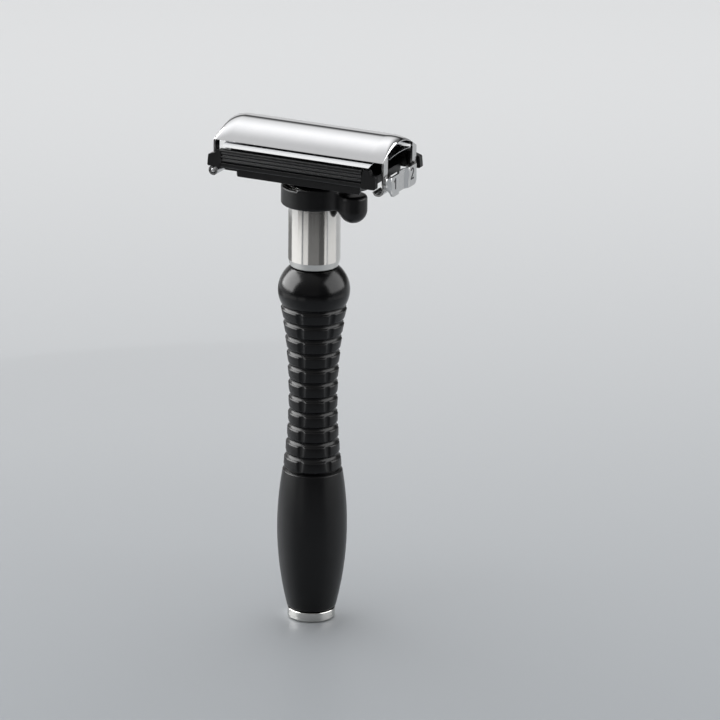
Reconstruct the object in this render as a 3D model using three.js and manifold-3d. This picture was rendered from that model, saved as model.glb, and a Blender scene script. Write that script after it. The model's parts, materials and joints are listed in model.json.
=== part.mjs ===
// Double-edge safety razor with a tilting clamp head.
// Millimetres. The origin is the centre of the end cap's flat face, +Z runs up the handle,
// +X runs along the head towards the numbered latch, and -Y is the front.
import * as THREE from "three";
import { mergeVertices } from "three/addons/utils/BufferGeometryUtils.js";
import Module from "manifold-3d";

const wasm = await Module();
wasm.setup();

// ---- Driving dimensions ----

const GAP = 0.3; // clearance between neighbouring pieces
const AROUND = 24; // facets around a turned piece
const SMALL = 10; // facets around a small round piece

// End cap and the rod that pulls the handle together
const END_CAP_R = 5.62;
const END_CAP_H = 2.4;
const END_CAP_CHAMFER = 0.35;
const BOSS_R = 4.1;
const BOSS_TOP = 6;
const ROD_R = 1.5;
const ROD_BOTTOM = 1.3;
const ROD_TOP = 93.6;
const BALLAST_TOP = 31.5;

// Grip: a barrel, eleven rings and a round bulb
const GRIP_BOTTOM = END_CAP_H + GAP;
const BARREL_TOP = 36.7;
const BARREL_R = 8.21;
const BARREL_WIDEST_Z = 22.75;
const BARREL_CURVE = 0.0062; // the radius falls off with the square of the height
const RING_COUNT = 11;
const RING_PITCH = 3.64;
const RING_GROOVE_Z = 37.2;
const RING_DEPTH = 0.75;
const WAIST_R = 5.79;
const WAIST_Z = 54.5;
const WAIST_CURVE = 0.004;
const BULB_R = 8.38;
const BULB_Z = 80.7;
const BULB_HALF_HEIGHT = 7.6;
const BULB_BOTTOM = 77.6;
const BULB_TOP = 86.4;
const FLUTE_COUNT = 6;
const FLUTE_R = 1.1;
const FLUTE_DEPTH = 0.35;

// Neck sleeve with its spigot in the bulb
const SLEEVE_R = 6.05;
const SLEEVE_BORE_R = 5.3;
const SLEEVE_SHOULDER_R = 5.7;
const SLEEVE_BOTTOM = 86.7;
const SLEEVE_SHOULDER_Z = 88.3;
const SLEEVE_FLOOR_Z = 90.5;
const SLEEVE_TOP = 103.4;
const SPIGOT_R = 4.3;
const SPIGOT_BOTTOM = 79;

// Lock ring with its thumb lobe
const RING_R = 7.85;
const RING_BOTTOM = 101.6;
const RING_TOP = 106.9;
const RING_LOW_TOP = 106.35; // the wall is lower on the left half
const RING_LEDGE_TOP = 103.4;
const RING_BORE_R = 7;
const LOBE_X = 9.8;
const LOBE_R = 3.3;
const LOBE_TOP = 105;
const LOBE_BALL_Z = 101.5;

// Pivot of the head
const PIVOT_Z = 105.6;
const PIN_R = 0.7;
const CUP_R = 6.6;
const CUP_WALL = 0.6;
const CUP_BOTTOM = SLEEVE_TOP + GAP;
const CUP_TOP = 106.6;
const CUP_EAR_TOP = 107;
const DRUM_R = 1.9;
const DRUM_HALF = 4.4;

// Head lock: a plunger lifted against the drum
const CROSS_PIN_Z = 102.4;
const CROSS_PIN_R = 0.35;
const PLUNGER_R = 3;
const PLUNGER_BOTTOM = 98.5;
const PLUNGER_TOP = 103.1;

// Head, from the pivot block up to the blade
const BLOCK_LEFT = -15.9;
const BLOCK_RIGHT = 15.5;
const BLOCK_HALF_Y = 8.5;
const BLOCK_BOTTOM = 107.6;
const BLOCK_SKIRT_BOTTOM = 107.9;
const BLOCK_SKIRT_WALL = 0.6;
const BLOCK_TOP = 109.6;
const BASE_HALF_X = 17.8;
const BASE_HALF_Y = 8.8;
const BASE_BOTTOM = BLOCK_TOP + GAP;
const BASE_TOP = 111.6;
const BED_HALF_X = 17.1;
const BED_HALF_Y = 9.2;
const BED_WALL = 1.2;
const GUARD_Y = 10.9;
const GUARD_INNER_Y = 9.45;
const GUARD_BOTTOM = 110.3;
const GUARD_TOP = 114.8;
const SCREW_X = 11;

// Blade: the standard double-edge blade, bent over the bed
const BLADE_CREST_Z = 116.8;
const BLADE_CURVE = 0.0112; // the height falls off with the square of the distance
const BLADE_THICKNESS = 0.1;
const BLADE_HALF_LENGTH = 21.5;
const BLADE_HALF_WIDTH = 10.95;
const BLADE_EDGE_HALF_LENGTH = 18.7;
const BLADE_TAB_HALF_WIDTH = 6.1;
const STUD_X = 12;
const STUD_R = 1.1;

// Cap
const CAP_HALF_X = 21.3;
const CAP_FLAT_HALF_X = 17.9;
const CAP_HALF_Y = 8.8;
const CAP_CREST_Z = 120.3;
const CAP_RIM_CREST_Z = 119;
const CAP_EDGE_Z = 116.55;
const CAP_SHEET = 0.45;

// Hinge at the left end and sprung latch at the right end
const HINGE_X = -22;
const HINGE_Z = 108.6;
const KNUCKLE_R = 1.15;
const HINGE_PIN_R = 0.5;
const LEG_INNER_Y = 6.6;
const LEG_OUTER_Y = 8.8;
const LEG_TOP = 116;
const PLATE_TOP = 112.5;
const PLATE_BOTTOM = 107.7;

// ---- Materials ----

const finish = (color, metalness, roughness) =>
  new THREE.MeshStandardMaterial({ color, metalness, roughness });
const blackGrip = finish(0x0b0b0c, 0, 0.32);
const blackPlastic = finish(0x101012, 0, 0.38);
const ridgedPlastic = finish(0x17171a, 0, 0.5);
const stainless = finish(0xb9b7b2, 1, 0.28);
const chrome = finish(0xe6e7e9, 1, 0.05);
const springSteel = finish(0xa9a9a8, 1, 0.3);
const bladeSteel = finish(0xd9dadc, 1, 0.15);
const brass = finish(0xb08d4a, 1, 0.35);

// ---- Geometry helpers ----

const TOUCH = 1e-4; // vertices closer than this are one vertex

// Shared-vertex arrays of a closed mesh, without slivers and with its faces pointing out.
function closedArrays(geometry) {
  const bare = geometry.clone();
  bare.deleteAttribute("normal");
  bare.deleteAttribute("uv");
  const merged = mergeVertices(bare, TOUCH);
  const points = merged.attributes.position.array;
  const corners = merged.index.array;
  const faces = [];
  for (let i = 0; i < corners.length; i += 3) {
    const [a, b, c] = corners.slice(i, i + 3);
    if (a !== b && b !== c && c !== a) faces.push([a, b, c]);
  }
  const vertex = i => new THREE.Vector3().fromArray(points, 3 * i);
  const sixVolumes = faces.map(([a, b, c]) => vertex(a).dot(vertex(b).cross(vertex(c))));
  const insideOut = sixVolumes.reduce((sum, value) => sum + value, 0) < 0;
  const ordered = faces.map(([a, b, c]) => (insideOut ? [a, c, b] : [a, b, c]));
  return { points, triangles: Uint32Array.from(ordered.flat()) };
}

function toManifold(geometry) {
  const { points, triangles } = closedArrays(geometry);
  const mesh = new wasm.Mesh({ numProp: 3, vertProperties: points, triVerts: triangles });
  return new wasm.Manifold(mesh);
}

function fromArrays(points, triangles) {
  const geometry = new THREE.BufferGeometry();
  geometry.setAttribute("position", new THREE.BufferAttribute(Float32Array.from(points), 3));
  geometry.setIndex(Array.from(triangles));
  geometry.computeVertexNormals();
  return geometry;
}

function fromManifold(solid) {
  const mesh = solid.getMesh();
  return fromArrays(mesh.vertProperties, mesh.triVerts);
}

const join = (first, ...others) =>
  fromManifold(others.reduce((sum, each) => sum.add(toManifold(each)), toManifold(first)));
const cut = (first, ...tools) =>
  fromManifold(tools.reduce((rest, each) => rest.subtract(toManifold(each)), toManifold(first)));
const overlap = (first, second) =>
  fromManifold(toManifold(first).intersect(toManifold(second)));

const box = (x, y, z) =>
  new THREE.BoxGeometry(x[1] - x[0], y[1] - y[0], z[1] - z[0])
    .translate((x[0] + x[1]) / 2, (y[0] + y[1]) / 2, (z[0] + z[1]) / 2);

// A turned piece about Z, from [radius, height] points.
function turned(profile, facets = AROUND) {
  const points = profile.map(([r, z]) => new THREE.Vector2(r, z));
  return new THREE.LatheGeometry(points, facets).rotateX(Math.PI / 2);
}

function tube(outer, inner, bottom, top, facets = AROUND) {
  return turned([[inner, bottom], [outer, bottom], [outer, top], [inner, top], [inner, bottom]], facets);
}

const rodZ = (r, x, y, z, facets = SMALL) =>
  new THREE.CylinderGeometry(r, r, z[1] - z[0], facets)
    .rotateX(Math.PI / 2).translate(x, y, (z[0] + z[1]) / 2);
const rodX = (r, x, y, z, facets = SMALL) =>
  new THREE.CylinderGeometry(r, r, x[1] - x[0], facets)
    .rotateZ(Math.PI / 2).translate((x[0] + x[1]) / 2, y, z);
const rodY = (r, x, y, z, facets = SMALL) =>
  new THREE.CylinderGeometry(r, r, y[1] - y[0], facets)
    .translate(x, (y[0] + y[1]) / 2, z);

const shapeOf = outline => new THREE.Shape(outline.map(([u, v]) => new THREE.Vector2(u, v)));
const extruded = (outline, depth) =>
  new THREE.ExtrudeGeometry(shapeOf(outline), { depth, bevelEnabled: false });

// Extrusions of outlines drawn in the XY, YZ and XZ planes.
const prismZ = (outline, z) => extruded(outline, z[1] - z[0]).translate(0, 0, z[0]);
const prismX = (outline, x) =>
  extruded(outline, x[1] - x[0])
    .applyMatrix4(new THREE.Matrix4().set(0, 0, 1, 0, 1, 0, 0, 0, 0, 1, 0, 0, 0, 0, 0, 1))
    .translate(x[0], 0, 0);
const prismY = (outline, y) => extruded(outline, y[1] - y[0]).rotateX(Math.PI / 2).translate(0, y[1], 0);

// A round bar along a curve.
function bar(curve, radius, steps, sides) {
  const section = new THREE.Shape().absarc(0, 0, radius, 0, 2 * Math.PI);
  const options = { steps, curveSegments: sides, extrudePath: curve, bevelEnabled: false };
  return new THREE.ExtrudeGeometry(section, options);
}

class Helix extends THREE.Curve {
  constructor(radius, pitch, turns) {
    super();
    Object.assign(this, { radius, pitch, turns });
  }
  getPoint(t, target = new THREE.Vector3()) {
    const angle = 2 * Math.PI * this.turns * t;
    const height = this.pitch * this.turns * t;
    return target.set(this.radius * Math.cos(angle), this.radius * Math.sin(angle), height);
  }
}

const turnedRound = geometry => geometry.clone().rotateZ(Math.PI);
const mirroredY = geometry => geometry.clone().applyMatrix4(new THREE.Matrix4().makeScale(1, -1, 1));
const range = count => [...Array(count).keys()];

const razor = new THREE.Group();

function add(name, geometry, material) {
  const { points, triangles } = closedArrays(geometry);
  const mesh = new THREE.Mesh(fromArrays(points, triangles), material);
  mesh.name = name;
  razor.add(mesh);
}

// ---- Handle ----

function endCap() {
  const solid = turned([
    [0, 0],
    [END_CAP_R - END_CAP_CHAMFER, 0],
    [END_CAP_R, END_CAP_CHAMFER],
    [END_CAP_R, END_CAP_H],
    [BOSS_R, END_CAP_H],
    [BOSS_R, BOSS_TOP],
    [0, BOSS_TOP],
  ]);
  return cut(solid, rodZ(ROD_R + GAP, 0, 0, [ROD_BOTTOM - GAP, BOSS_TOP + 1]));
}

const barrelRadius = z => BARREL_R - BARREL_CURVE * (z - BARREL_WIDEST_Z) ** 2;
const crestRadius = z => WAIST_R + WAIST_CURVE * (z - WAIST_Z) ** 2;
const bulbRadius = z => BULB_R * Math.sqrt(1 - ((z - BULB_Z) / BULB_HALF_HEIGHT) ** 2);

// One ring from the groove under it: up the flank, along the land and in at the sharp top edge.
function ringPoints(index) {
  const bottom = RING_GROOVE_Z + index * RING_PITCH;
  const steps = [[0, RING_DEPTH], [0.75, 0.1], [2.75, 0], [3, 0.3]];
  return steps.map(([up, depth]) => [crestRadius(bottom + up) - depth, bottom + up]);
}

function gripProfile() {
  const barrelHeights = range(9).map(i => GRIP_BOTTOM + (i * (BARREL_TOP - GRIP_BOTTOM)) / 8);
  const bulbHeights = range(8).map(i => BULB_BOTTOM + (i * (BULB_TOP - BULB_BOTTOM)) / 7);
  const lastGroove = BULB_BOTTOM - 0.3;
  return [
    ...barrelHeights.map(z => [barrelRadius(z), z]),
    ...range(RING_COUNT + 1).flatMap(ringPoints).filter(([, z]) => z < lastGroove),
    ...bulbHeights.map(z => [bulbRadius(z), z]),
  ];
}

function flute(index) {
  const heights = range(6).map(i => BARREL_TOP + 0.6 + (i * (BULB_BOTTOM - BARREL_TOP - 1.2)) / 5);
  const offset = FLUTE_R - FLUTE_DEPTH;
  const points = heights.map(z => new THREE.Vector3(0, -(crestRadius(z) + offset), z));
  const curve = new THREE.CatmullRomCurve3(points);
  return bar(curve, FLUTE_R, 6, 4).rotateZ((index * 2 * Math.PI) / FLUTE_COUNT);
}

function handleGrip() {
  const outer = gripProfile();
  const bore = ROD_R + GAP;
  const body = turned([
    [bore, BALLAST_TOP + GAP],
    [BOSS_R + GAP, BALLAST_TOP + GAP],
    [BOSS_R + GAP, GRIP_BOTTOM],
    ...outer,
    [SPIGOT_R + GAP, BULB_TOP],
    [SPIGOT_R + GAP, SPIGOT_BOTTOM - GAP],
    [bore, SPIGOT_BOTTOM - GAP],
    [bore, BALLAST_TOP + GAP],
  ]);
  return cut(body, ...range(FLUTE_COUNT).map(flute));
}

function neckSleeve() {
  const bore = ROD_R + GAP;
  const sleeve = turned([
    [bore, SPIGOT_BOTTOM],
    [SPIGOT_R, SPIGOT_BOTTOM],
    [SPIGOT_R, SLEEVE_BOTTOM],
    [SLEEVE_SHOULDER_R, SLEEVE_BOTTOM],
    [SLEEVE_R, SLEEVE_SHOULDER_Z],
    [SLEEVE_R, SLEEVE_TOP],
    [SLEEVE_BORE_R, SLEEVE_TOP],
    [SLEEVE_BORE_R, SLEEVE_FLOOR_Z],
    [bore, SLEEVE_FLOOR_Z],
    [bore, SPIGOT_BOTTOM],
  ]);
  const slotHalf = CROSS_PIN_R + 0.15;
  const acrossSleeve = [-SLEEVE_R - 1, SLEEVE_R + 1];
  const slot = box([-slotHalf, slotHalf], acrossSleeve, [CROSS_PIN_Z - 0.5, SLEEVE_TOP + 1]);
  return cut(sleeve, slot);
}

function hexNut(acrossFlats, bore, bottom, top) {
  const corner = acrossFlats / Math.sqrt(3);
  const angles = range(6).map(i => (i * Math.PI) / 3);
  const outline = angles.map(a => [corner * Math.cos(a), corner * Math.sin(a)]);
  return cut(prismZ(outline, [bottom, top]), rodZ(bore, 0, 0, [bottom - 1, top + 1]));
}

function swivelCup() {
  const inner = CUP_R - CUP_WALL;
  const floorTop = CUP_BOTTOM + 0.6;
  const cup = turned([
    [0, CUP_BOTTOM],
    [CUP_R, CUP_BOTTOM],
    [CUP_R, CUP_EAR_TOP],
    [inner, CUP_EAR_TOP],
    [inner, floorTop],
    [0, floorTop],
  ]);
  const window = DRUM_R + 0.1;
  const earHalf = 1.6;
  const reach = CUP_R + 1;
  const above = [CUP_TOP, CUP_EAR_TOP + 1];
  return cut(
    cup,
    box([-DRUM_HALF - 1.1, DRUM_HALF + 1.1], [-window, window], [CUP_BOTTOM - 1, floorTop + 1]),
    box([-reach, reach], [-reach, -earHalf], above),
    box([-reach, reach], [earHalf, reach], above),
    rodX(PIN_R + GAP, [-reach, reach], 0, PIVOT_Z),
  );
}

function coil(radius, wire, pitch, turns) {
  const stepsPerTurn = 9;
  return bar(new Helix(radius, pitch, turns), wire, Math.round(turns * stepsPerTurn), 3);
}

function tiltSpring(side) {
  const spring = coil(1.15, 0.12, 0.3, 2.5).rotateY(Math.PI / 2);
  return spring.translate(side > 0 ? 4.7 : -5.45, 0, PIVOT_Z);
}

add("end_cap", endCap(), stainless);
add("tie_rod", rodZ(ROD_R, 0, 0, [ROD_BOTTOM, ROD_TOP]), springSteel);
add("ballast_weight", tube(BOSS_R, ROD_R + GAP, BOSS_TOP + GAP, BALLAST_TOP, 24), brass);
add("handle_grip", handleGrip(), blackGrip);
add("neck_sleeve", neckSleeve(), stainless);
add("tie_washer", tube(4.6, ROD_R + GAP, SLEEVE_FLOOR_Z + 0.2, SLEEVE_FLOOR_Z + 0.8, 18), springSteel);
add("tie_nut", hexNut(5.5, ROD_R + GAP, SLEEVE_FLOOR_Z + 1, SLEEVE_FLOOR_Z + 2.9), springSteel);
add("plunger_guide", tube(SLEEVE_BORE_R - 0.2, PLUNGER_R + 0.2, 95, 101, 18), brass);
add("swivel_cup", swivelCup(), stainless);
add("pivot_pin", rodX(PIN_R, [-CUP_R + 0.1, CUP_R - 0.1], 0, PIVOT_Z), springSteel);
add("tilt_spring_left", tiltSpring(-1), springSteel);
add("tilt_spring_right", tiltSpring(1), springSteel);

// ---- Head lock ----

function lockRing() {
  const grooveR = RING_BORE_R + 0.1;
  const ring = turned([
    [SLEEVE_R + GAP, RING_BOTTOM],
    [RING_R - 0.5, RING_BOTTOM],
    [RING_R, RING_BOTTOM + 0.4],
    [RING_R, RING_TOP],
    [RING_BORE_R, RING_TOP],
    [RING_BORE_R, RING_LEDGE_TOP],
    [SLEEVE_R + GAP, RING_LEDGE_TOP],
    [SLEEVE_R + GAP, RING_LEDGE_TOP - 0.2],
    [grooveR, RING_LEDGE_TOP - 0.2],
    [grooveR, CROSS_PIN_Z - 0.5],
    [SLEEVE_R + GAP, CROSS_PIN_Z - 0.5],
    [SLEEVE_R + GAP, RING_BOTTOM],
  ]);
  const ballSteps = range(5).map(i => (i * Math.PI) / 8);
  const lobe = turned([
    ...ballSteps.map(a => [LOBE_R * Math.sin(a), LOBE_BALL_Z - LOBE_R * Math.cos(a)]),
    [LOBE_R, LOBE_TOP - 0.4],
    [LOBE_R - 0.4, LOBE_TOP],
    [0, LOBE_TOP],
  ], 20).translate(LOBE_X, 0, 0);
  const web = box([RING_R - 0.9, LOBE_X], [-2.3, 2.3], [RING_BOTTOM, LOBE_TOP - 0.4]);
  const inside = rodZ(RING_BORE_R + 0.05, 0, 0, [RING_BOTTOM - 6, RING_TOP + 1], AROUND);
  const lowSide = box([-RING_R - 1, -0.8], [-RING_R - 1, RING_R + 1], [RING_LOW_TOP, RING_TOP + 1]);
  return cut(join(ring, cut(join(lobe, web), inside)), lowSide);
}

function brakePlunger() {
  const shoeTop = PLUNGER_TOP + 0.4;
  const body = join(
    rodZ(PLUNGER_R, 0, 0, [PLUNGER_BOTTOM, PLUNGER_TOP], 18),
    box([-2.4, 2.4], [-1.4, 1.4], [PLUNGER_TOP - 0.5, shoeTop]),
  );
  return cut(
    body,
    rodX(DRUM_R + 0.4, [-4, 4], 0, PIVOT_Z, 24),
    rodY(CROSS_PIN_R + 0.1, 0, [-4, 4], CROSS_PIN_Z),
  );
}

const springBottom = ROD_TOP + 0.6;
const springTop = PLUNGER_BOTTOM - 0.5;
const springTurns = 4;

add("lock_ring", lockRing(), blackPlastic);
add("brake_plunger", brakePlunger(), brass);
add("cross_pin", rodY(CROSS_PIN_R, 0, [-6.8, 6.8], CROSS_PIN_Z, 8), springSteel);
add(
  "brake_spring",
  coil(2.35, 0.25, (springTop - springBottom) / springTurns, springTurns).translate(0, 0, springBottom),
  springSteel,
);

// ---- Head ----

function pivotBlock() {
  const bevelStart = 3;
  const bevelEnd = BLOCK_HALF_Y - BLOCK_SKIRT_WALL;
  const bevelTop = BLOCK_BOTTOM + 1;
  const rightHalf = [
    [bevelStart, BLOCK_BOTTOM],
    [bevelEnd, bevelTop],
    [bevelEnd, BLOCK_SKIRT_BOTTOM],
    [BLOCK_HALF_Y, BLOCK_SKIRT_BOTTOM],
    [BLOCK_HALF_Y, BLOCK_TOP],
  ];
  const section = [...rightHalf, ...rightHalf.slice().reverse().map(([y, z]) => [-y, z])];
  const stem = box([-DRUM_HALF, DRUM_HALF], [-1.4, 1.4], [PIVOT_Z, BLOCK_BOTTOM + 0.5]);
  const drum = rodX(DRUM_R, [-DRUM_HALF, DRUM_HALF], 0, PIVOT_Z, 24);
  const block = join(prismX(section, [BLOCK_LEFT, BLOCK_RIGHT]), stem, drum);
  const screwHole = x => rodZ(1.2, x, 0, [BLOCK_BOTTOM + 0.7, BLOCK_TOP + 1]);
  return cut(block, rodX(PIN_R + GAP, [-6, 6], 0, PIVOT_Z), screwHole(-SCREW_X), screwHole(SCREW_X));
}

function headBase() {
  const lugHalf = 3.6;
  const lugReach = 1.1;
  const plate = box([-BASE_HALF_X, BASE_HALF_X], [-BASE_HALF_Y, BASE_HALF_Y], [BASE_BOTTOM, BASE_TOP]);
  const lugWidth = [-lugHalf, lugHalf];
  const arm = box([HINGE_X, -BASE_HALF_X + 0.8], lugWidth, [HINGE_Z - lugReach, HINGE_Z + lugReach]);
  const riser = box([-BASE_HALF_X - 0.6, -BASE_HALF_X + 0.8], lugWidth, [HINGE_Z, BASE_TOP]);
  const eye = rodY(lugReach, HINGE_X, lugWidth, HINGE_Z, 16);
  const solid = join(plate, arm, riser, eye);
  const screwHole = x => rodZ(1.2, x, 0, [BASE_BOTTOM - 1, BASE_TOP + 1]);
  const pinHole = rodY(HINGE_PIN_R + GAP, HINGE_X, [-lugHalf - 1, lugHalf + 1], HINGE_Z);
  return cut(solid, screwHole(-SCREW_X), screwHole(SCREW_X), pinHole);
}

function headScrew(x) {
  return join(
    rodZ(0.9, x, 0, [BLOCK_BOTTOM + 1, BASE_TOP + 0.6]),
    rodZ(1.8, x, 0, [BASE_TOP + 0.3, BASE_TOP + 1.2]),
  );
}

const bladeHeight = y => BLADE_CREST_Z - BLADE_CURVE * y * y;

// A closed strip between two heights over the head's width, drawn in the YZ plane.
function archOutline(halfWidth, topOf, bottomOf, steps) {
  const across = range(steps + 1).map(i => -halfWidth + (2 * halfWidth * i) / steps);
  const under = across.map(y => [y, bottomOf(y)]);
  const over = across.slice().reverse().map(y => [y, topOf(y)]);
  return [...under, ...over];
}

function bladeBed() {
  const clearance = BLADE_THICKNESS / 2 + GAP;
  const top = y => bladeHeight(y) - clearance;
  const arch = prismX(archOutline(BED_HALF_Y, top, y => top(y) - BED_WALL, 12), [-BED_HALF_X, BED_HALF_X]);
  const wallOutline = [
    [BASE_HALF_Y - 1.3, BASE_TOP + GAP],
    [BASE_HALF_Y - 0.1, BASE_TOP + GAP],
    [BASE_HALF_Y - 0.1, top(BASE_HALF_Y) - 0.4],
    [BASE_HALF_Y - 1.3, top(BASE_HALF_Y) - 0.4],
  ];
  const wall = prismX(wallOutline, [-BED_HALF_X, BED_HALF_X]);
  const pocket = x => box([x - 2.3, x + 2], [-1.5, 1.5], [112, BLADE_CREST_Z + 1]);
  return cut(join(arch, wall, mirroredY(wall)), pocket(-STUD_X), pocket(STUD_X));
}

// Guard in front of the blade, with its end block; the rear guard is the same piece turned round.
function guard() {
  const face = GUARD_Y;
  const outline = [
    [-GUARD_INNER_Y, GUARD_BOTTOM],
    [-face + 0.4, GUARD_BOTTOM],
    [-face, GUARD_BOTTOM + 0.5],
    [-face, 111.4],
    [-face + 0.6, 111.4],
    [-face + 0.6, 114.3],
    [-face + 0.1, 114.3],
    [-face + 0.4, GUARD_TOP],
    [-GUARD_INNER_Y, GUARD_TOP - 0.1],
  ];
  const rail = prismX(outline, [-19.2, 17]);
  const blockOutline = [[-22.3, 110.5], [-19, GUARD_BOTTOM], [-19, 113.6], [-21.9, 113.2]];
  const block = prismY(blockOutline, [-face, -GUARD_INNER_Y]);
  const step = box([16.95, 20.4], [-face + 0.3, -GUARD_INNER_Y], [GUARD_BOTTOM, 113.6]);
  const foot = box([-15, 15], [-GUARD_INNER_Y - 0.2, -BASE_HALF_Y - GAP], [GUARD_BOTTOM, BASE_TOP]);
  return join(rail, block, step, foot);
}

function guardStrip() {
  const back = -GUARD_Y + 0.5;
  const front = -GUARD_Y;
  const ridges = range(3).flatMap(i => {
    const z = 111.6 + i * 0.87;
    return [[front, z], [front, z + 0.4], [front + 0.2, z + 0.5], [front + 0.2, z + 0.8]];
  });
  return prismX([[back, 111.6], ...ridges, [back, 114.1]], [-18.7, 16.8]);
}

add("pivot_block", pivotBlock(), blackPlastic);
add("head_base", headBase(), blackPlastic);
add("head_screw_left", headScrew(-SCREW_X), springSteel);
add("head_screw_right", headScrew(SCREW_X), springSteel);
add("blade_bed", bladeBed(), blackPlastic);
add("front_guard", guard(), blackPlastic);
add("rear_guard", turnedRound(guard()), blackPlastic);
add("front_guard_strip", guardStrip(), ridgedPlastic);
add("rear_guard_strip", turnedRound(guardStrip()), ridgedPlastic);
add("cap_hinge_pin", rodY(HINGE_PIN_R, HINGE_X, [-8.6, 8.6], HINGE_Z), springSteel);

// ---- Cap with the blade under it ----

function arcHeight(crest, edge, y) {
  const sagitta = crest - edge;
  const radius = (CAP_HALF_Y ** 2 + sagitta ** 2) / (2 * sagitta);
  return crest - radius + Math.sqrt(radius ** 2 - y * y);
}

// Outer height of the cap: an arch along its length, rounded down at both ends.
function capHeight(x, y) {
  const along = Math.max(0, (Math.abs(x) - CAP_FLAT_HALF_X) / (CAP_HALF_X - CAP_FLAT_HALF_X));
  const roundDown = 1 - Math.sqrt(1 - along ** 2);
  const crest = CAP_CREST_Z - (CAP_CREST_Z - CAP_RIM_CREST_Z) * roundDown;
  return arcHeight(crest, CAP_EDGE_Z, y);
}

// A thin shell under the surface height(x, y), stitched from two grids.
function shell(xs, ys, height, thickness) {
  const points = [];
  const triangles = [];
  const columns = ys.length;
  const layer = xs.length * columns;
  for (const drop of [0, thickness]) {
    for (const x of xs) {
      for (const y of ys) points.push(x, y, height(x, y) - drop);
    }
  }
  const quad = (a, b, c, d) => triangles.push(a, b, c, a, c, d);
  for (let i = 0; i + 1 < xs.length; i += 1) {
    for (let j = 0; j + 1 < columns; j += 1) {
      const a = i * columns + j;
      quad(a, a + columns, a + columns + 1, a + 1);
      quad(layer + a, layer + a + 1, layer + a + columns + 1, layer + a + columns);
    }
  }
  const rim = [
    ...range(xs.length).map(i => i * columns),
    ...range(columns).slice(1).map(j => (xs.length - 1) * columns + j),
    ...range(xs.length).slice(0, -1).reverse().map(i => i * columns + columns - 1),
    ...range(columns).slice(1, -1).reverse(),
  ];
  rim.forEach((a, i) => {
    const b = rim[(i + 1) % rim.length];
    quad(a, a + layer, b + layer, b);
  });
  return fromArrays(points, triangles);
}

function capShell() {
  const roundLength = CAP_HALF_X - CAP_FLAT_HALF_X;
  const ends = range(6).map(i => CAP_FLAT_HALF_X + roundLength * Math.sin((i * Math.PI) / 10));
  const xs = [...ends.map(x => -x).reverse(), ...ends];
  const ys = range(15).map(i => (CAP_HALF_Y * (i - 7)) / 7);
  return shell(xs, ys, capHeight, CAP_SHEET);
}

function capCore() {
  const halfWidth = 7.2;
  const clearance = BLADE_THICKNESS / 2 + GAP;
  const top = y => arcHeight(CAP_CREST_Z, CAP_EDGE_Z, y) - CAP_SHEET - GAP;
  const bottom = y => bladeHeight(y) + clearance;
  const core = prismX(archOutline(halfWidth, top, bottom, 12), [-17, 17]);
  const stud = x => rodZ(STUD_R, x, 0, [115.9, BLADE_CREST_Z + 1]);
  return join(core, stud(-STUD_X), stud(STUD_X));
}

function blade() {
  const halfSheet = BLADE_THICKNESS / 2;
  const top = y => bladeHeight(y) + halfSheet;
  const sheetOutline = archOutline(BLADE_HALF_WIDTH, top, y => top(y) - BLADE_THICKNESS, 16);
  const sheet = prismX(sheetOutline, [-BLADE_HALF_LENGTH, BLADE_HALF_LENGTH]);
  const tall = [BLADE_CREST_Z - 3, BLADE_CREST_Z + 1];
  const corner = (sx, sy) => box(
    [sx * BLADE_EDGE_HALF_LENGTH, sx * (BLADE_HALF_LENGTH + 1)].sort((a, b) => a - b),
    [sy * BLADE_TAB_HALF_WIDTH, sy * (BLADE_HALF_WIDTH + 1)].sort((a, b) => a - b),
    tall,
  );
  const slot = box([-16.5, 16.5], [-0.6, 0.6], tall);
  const holes = [-STUD_X, 0, STUD_X].map(x => rodZ(1.6, x, 0, tall));
  return cut(sheet, corner(1, 1), corner(1, -1), corner(-1, 1), corner(-1, -1), slot, ...holes);
}

function hingeFrame() {
  const leg = box([-21.8, -21.2], [-LEG_OUTER_Y, -LEG_INNER_Y], [HINGE_Z, LEG_TOP]);
  const knuckle = rodY(KNUCKLE_R, HINGE_X, [-8.5, -4], HINGE_Z, 16);
  const cross = box([-21.8, -21.2], [-LEG_OUTER_Y, LEG_OUTER_Y], [110.4, PLATE_TOP]);
  const strap = box([-21.8, -21.2], [-8.5, -4], [HINGE_Z, 110.5]);
  const solid = join(leg, mirroredY(leg), knuckle, mirroredY(knuckle), cross, strap, mirroredY(strap));
  return cut(solid, rodY(HINGE_PIN_R + GAP, HINGE_X, [-10, 10], HINGE_Z));
}

add("cap_shell", capShell(), chrome);
add("cap_core", capCore(), blackPlastic);
add("blade", blade(), bladeSteel);
add("hinge_frame", hingeFrame(), stainless);

// ---- Sprung latch with the numbered plate ----

function sideLatch() {
  const thickness = 0.5;
  const wave = [[-8.7, 21.7], [-7.7, 22.1], [-6.6, 22.7], [-2.8, 22.7], [-1.3, 22], [0, 21.9]];
  const outer = [...wave, ...wave.slice(0, -1).reverse().map(([y, x]) => [-y, x])];
  const inner = outer.slice().reverse().map(([y, x]) => [y, x - thickness]);
  const plan = [...outer, ...inner].map(([y, x]) => [x, y]);
  const side = [[-6, PLATE_BOTTOM], [-8.5, 110.4], [-9, 110.5], [-9, 111.3], [-8.8, PLATE_TOP]];
  const front = [...side, ...side.slice().reverse().map(([y, z]) => [-y, z])];
  const plate = overlap(prismZ(plan, [PLATE_BOTTOM, PLATE_TOP]), prismX(front, [20, 24]));
  const leg = box([21, 21.6], [-LEG_OUTER_Y, -LEG_INNER_Y], [111.2, LEG_TOP]);
  const footOutline = [
    [21.4, 112.3], [20.95, 112.3], [20.95, 109.3], [20.2, 108.6], [19.4, 108.6], [18.9, 109.3],
    [18.5, 109.1], [19.1, 108.1], [20.4, 108.1], [21.4, 109.1],
  ];
  const foot = prismY(footOutline, [-8.4, -4.6]);
  return join(plate, leg, mirroredY(leg), foot, mirroredY(foot));
}

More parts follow.
